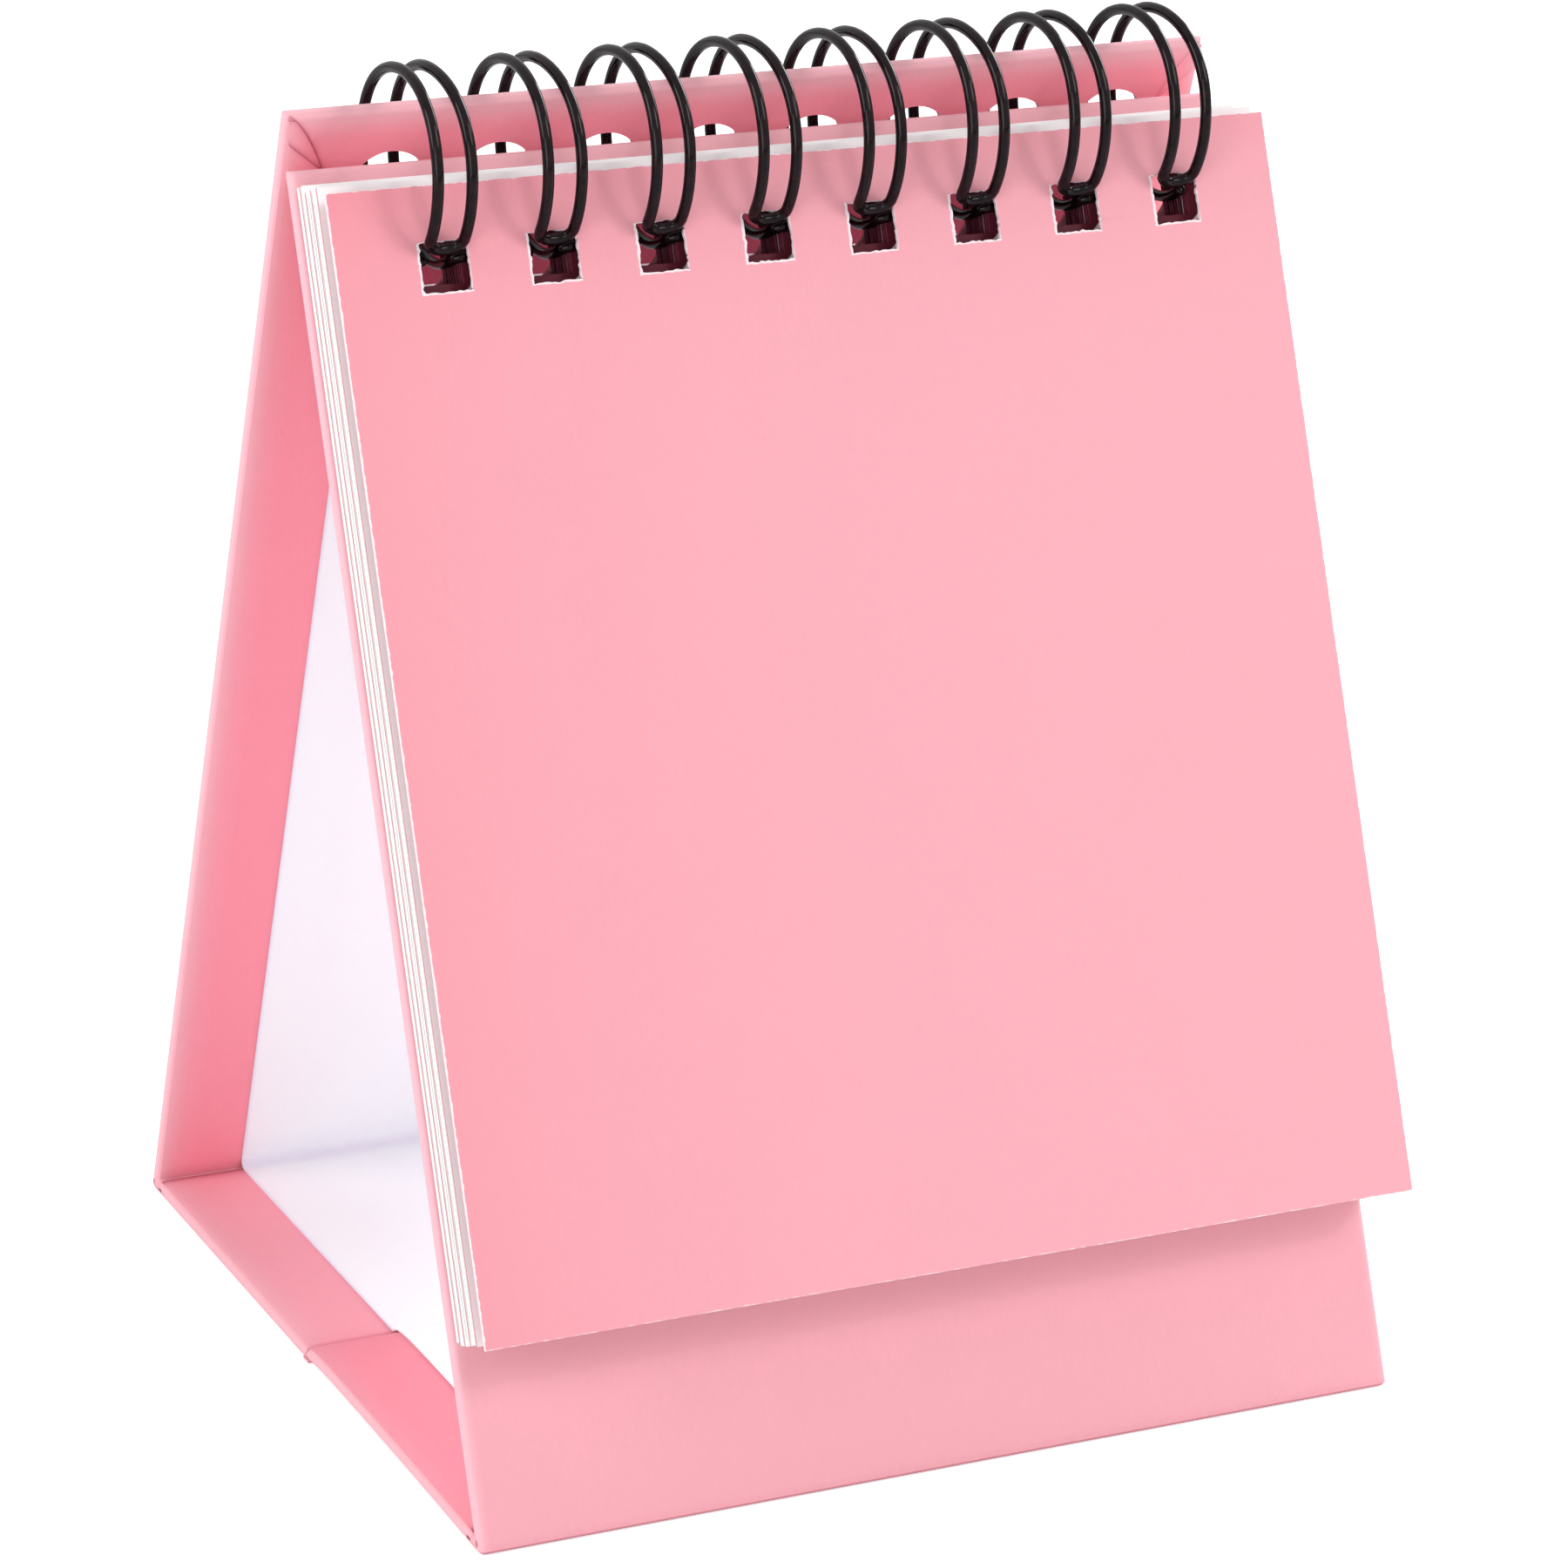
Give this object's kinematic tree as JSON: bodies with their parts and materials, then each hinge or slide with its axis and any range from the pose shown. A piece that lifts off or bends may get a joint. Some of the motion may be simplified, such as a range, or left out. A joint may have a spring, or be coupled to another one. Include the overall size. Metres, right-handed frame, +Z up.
{
  "type": "desk calendar",
  "caption": "Tent-shaped desk calendar: paper-wrapped boards on a folding base, a twin-loop wire comb, and punched leaves under a plain cover that turn over the top.",
  "frame": {"origin": "on the table, under the middle of the calendar's footprint", "axes": "+Z up, the front cover faces -Y, +X to the right of someone who looks at the front"},
  "size_m": [0.0762, 0.0688, 0.1003],
  "materials": {
    "pink_paper": "matt laid cover paper",
    "cover_paper": "matt card",
    "liner_paper": "matt uncoated",
    "leaf_paper": "matt uncoated",
    "greyboard": "raw board",
    "black_wire": "gloss lacquer"
  },
  "bodies": {
    "front": {"front_board": "greyboard", "front_wrap": "pink_paper", "front_liner": "liner_paper"},
    "back": {"back_board": "greyboard", "back_wrap": "pink_paper", "back_liner": "liner_paper"},
    "base_rear": {"base_rear_board": "greyboard", "base_rear_wrap": "pink_paper", "base_rear_liner": "liner_paper", "crease_rear": "pink_paper", "crease_mid": "pink_paper"},
    "base_front": {"base_front_board": "greyboard", "base_front_wrap": "pink_paper", "base_front_liner": "liner_paper", "crease_front": "pink_paper"},
    "leaf_12": {"leaf_12": "leaf_paper"},
    "leaf_11": {"leaf_11": "leaf_paper"},
    "leaf_10": {"leaf_10": "leaf_paper"},
    "leaf_09": {"leaf_09": "leaf_paper"},
    "leaf_08": {"leaf_08": "leaf_paper"},
    "leaf_07": {"leaf_07": "leaf_paper"},
    "leaf_06": {"leaf_06": "leaf_paper"},
    "leaf_05": {"leaf_05": "leaf_paper"},
    "leaf_04": {"leaf_04": "leaf_paper"},
    "leaf_03": {"leaf_03": "leaf_paper"},
    "leaf_02": {"leaf_02": "leaf_paper"},
    "leaf_01": {"leaf_01": "leaf_paper"},
    "comb": {"wire_comb": "black_wire"},
    "cover": {"cover": "cover_paper"}
  },
  "joints": [
    {"name": "fold", "type": "hinge", "parent": "front", "child": "back", "pos_m": [0, 0.002, 0.09256], "axis": [-1, 0, 0], "range_deg": [0, 36.5], "deforming": ["base_front_wrap", "base_front_liner", "base_rear_wrap", "base_rear_liner", "crease_front", "crease_mid", "crease_rear"]},
    {"name": "rear_crease", "type": "hinge", "parent": "back", "child": "base_rear", "pos_m": [0, 0.03274, 0.00132], "axis": [-1, 0, 0], "range_deg": [0, 73.66]},
    {"name": "front_crease", "type": "hinge", "parent": "front", "child": "base_front", "pos_m": [0, -0.0325, 0.00132], "axis": [1, 0, 0], "range_deg": [0, 66.64]},
    {"name": "leaf_12_turn", "type": "hinge", "parent": "front", "child": "leaf_12", "pos_m": [0, 0.002, 0.09256], "axis": [-1, 0, 0], "range_deg": [0, 7.5]},
    {"name": "leaf_11_turn", "type": "hinge", "parent": "leaf_12", "child": "leaf_11", "pos_m": [0, 0.002, 0.09256], "axis": [-1, 0, 0], "range_deg": [0, 7.5]},
    {"name": "leaf_10_turn", "type": "hinge", "parent": "leaf_11", "child": "leaf_10", "pos_m": [0, 0.002, 0.09256], "axis": [-1, 0, 0], "range_deg": [0, 7.5]},
    {"name": "leaf_09_turn", "type": "hinge", "parent": "leaf_10", "child": "leaf_09", "pos_m": [0, 0.002, 0.09256], "axis": [-1, 0, 0], "range_deg": [0, 7.5]},
    {"name": "leaf_08_turn", "type": "hinge", "parent": "leaf_09", "child": "leaf_08", "pos_m": [0, 0.002, 0.09256], "axis": [-1, 0, 0], "range_deg": [0, 7.5]},
    {"name": "leaf_07_turn", "type": "hinge", "parent": "leaf_08", "child": "leaf_07", "pos_m": [0, 0.002, 0.09256], "axis": [-1, 0, 0], "range_deg": [0, 7.5]},
    {"name": "leaf_06_turn", "type": "hinge", "parent": "leaf_07", "child": "leaf_06", "pos_m": [0, 0.002, 0.09256], "axis": [-1, 0, 0], "range_deg": [0, 7.5]},
    {"name": "leaf_05_turn", "type": "hinge", "parent": "leaf_06", "child": "leaf_05", "pos_m": [0, 0.002, 0.09256], "axis": [-1, 0, 0], "range_deg": [0, 7.5]},
    {"name": "leaf_04_turn", "type": "hinge", "parent": "leaf_05", "child": "leaf_04", "pos_m": [0, 0.002, 0.09256], "axis": [-1, 0, 0], "range_deg": [0, 7.5]},
    {"name": "leaf_03_turn", "type": "hinge", "parent": "leaf_04", "child": "leaf_03", "pos_m": [0, 0.002, 0.09256], "axis": [-1, 0, 0], "range_deg": [0, 7.5]},
    {"name": "leaf_02_turn", "type": "hinge", "parent": "leaf_03", "child": "leaf_02", "pos_m": [0, 0.002, 0.09256], "axis": [-1, 0, 0], "range_deg": [0, 7.5]},
    {"name": "leaf_01_turn", "type": "hinge", "parent": "leaf_02", "child": "leaf_01", "pos_m": [0, 0.002, 0.09256], "axis": [-1, 0, 0], "range_deg": [0, 7.5]},
    {"name": "comb_turn", "type": "hinge", "parent": "leaf_01", "child": "comb", "pos_m": [0, 0.002, 0.09256], "axis": [-1, 0, 0], "range_deg": [0, 3]},
    {"name": "cover_turn", "type": "hinge", "parent": "comb", "child": "cover", "pos_m": [0, 0.002, 0.09256], "axis": [-1, 0, 0], "range_deg": [0, 67]}
  ],
  "couplings": [
    {"joint": "rear_crease", "follows": "fold", "ratio": 2.0175},
    {"joint": "front_crease", "follows": "fold", "ratio": 1.8252}
  ]
}
